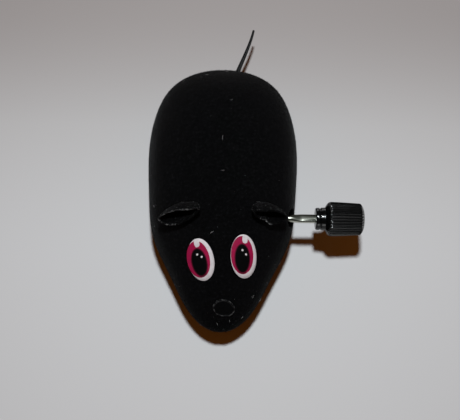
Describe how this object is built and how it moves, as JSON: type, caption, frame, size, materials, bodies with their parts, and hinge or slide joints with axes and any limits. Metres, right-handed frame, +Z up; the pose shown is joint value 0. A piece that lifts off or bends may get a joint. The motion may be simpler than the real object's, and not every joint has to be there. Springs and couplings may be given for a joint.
{
  "type": "clockwork mouse",
  "caption": "Wind-up toy mouse: flocked hollow body with ears, sticker eyes and a tail, over a spring motor, gear train, driven wheels and a front roller.",
  "frame": {"origin": "on the floor, under the middle of the body's length and width", "axes": "+Z up, +Y from the nose to the tail, +X towards the winding knob on the mouse's left side"},
  "size_m": [0.0639, 0.1002, 0.036],
  "materials": {
    "flocked_shell": "black flock on a moulded shell",
    "base_plastic": "moulded, fine spark texture",
    "ear_fabric": "black velvet sheet",
    "eye_sticker": "printed vinyl",
    "nose_sticker": "glossy vinyl",
    "tail_rubber": "moulded flexible",
    "knob_plastic": "moulded, semi-gloss",
    "steel": "drawn wire",
    "spring_steel": "blued strip",
    "gear_nylon": "natural nylon",
    "frame_plastic": "moulded, satin",
    "click_brass": "rolled strip",
    "wheel_plastic": "moulded, satin",
    "tyre_rubber": "plain tread"
  },
  "bodies": {
    "mouse": {"body_shell": "flocked_shell", "base_plate": "base_plastic", "ear_left": "ear_fabric", "ear_right": "ear_fabric", "eye_left": "eye_sticker", "eye_right": "eye_sticker", "nose": "nose_sticker", "tail": "tail_rubber", "mainspring": "spring_steel", "gear_frame_left": "frame_plastic", "gear_frame_right": "frame_plastic", "frame_screws": "steel", "idler_pin": "steel", "front_pin": "steel", "body_screws": "steel", "gearbox_screws": "steel"},
    "great_wheel": {"great_wheel": "gear_nylon", "ratchet_click": "click_brass"},
    "winder": {"winding_knob": "knob_plastic", "winding_shaft": "steel", "ratchet_wheel": "steel"},
    "idler": {"idler_gear": "gear_nylon"},
    "drive_wheels": {"drive_axle": "steel", "drive_pinion": "gear_nylon", "wheel_hub_left": "wheel_plastic", "wheel_hub_right": "wheel_plastic", "tyre_left": "tyre_rubber", "tyre_right": "tyre_rubber"},
    "front_roller": {"front_roller": "wheel_plastic"}
  },
  "joints": [
    {"name": "wheels_spin", "type": "hinge", "parent": "mouse", "child": "drive_wheels", "pos_m": [0, 0.01101, 0.0075], "axis": [1, 0, 0], "continuous": true},
    {"name": "idler_spin", "type": "hinge", "parent": "mouse", "child": "idler", "pos_m": [0, 0.00233, 0.0135], "axis": [1, 0, 0], "continuous": true},
    {"name": "great_wheel_spin", "type": "hinge", "parent": "mouse", "child": "great_wheel", "pos_m": [0, -0.0095, 0.019], "axis": [1, 0, 0], "continuous": true},
    {"name": "winding", "type": "hinge", "parent": "great_wheel", "child": "winder", "pos_m": [0, -0.0095, 0.019], "axis": [1, 0, 0], "range_deg": [-2057.14, 0], "deforming": ["mainspring", "ratchet_click"]},
    {"name": "front_roller_spin", "type": "hinge", "parent": "mouse", "child": "front_roller", "pos_m": [0, -0.027, 0.0039], "axis": [1, 0, 0], "continuous": true}
  ],
  "couplings": [
    {"joint": "idler_spin", "follows": "wheels_spin", "ratio": -0.4},
    {"joint": "great_wheel_spin", "follows": "wheels_spin", "ratio": 0.12}
  ]
}
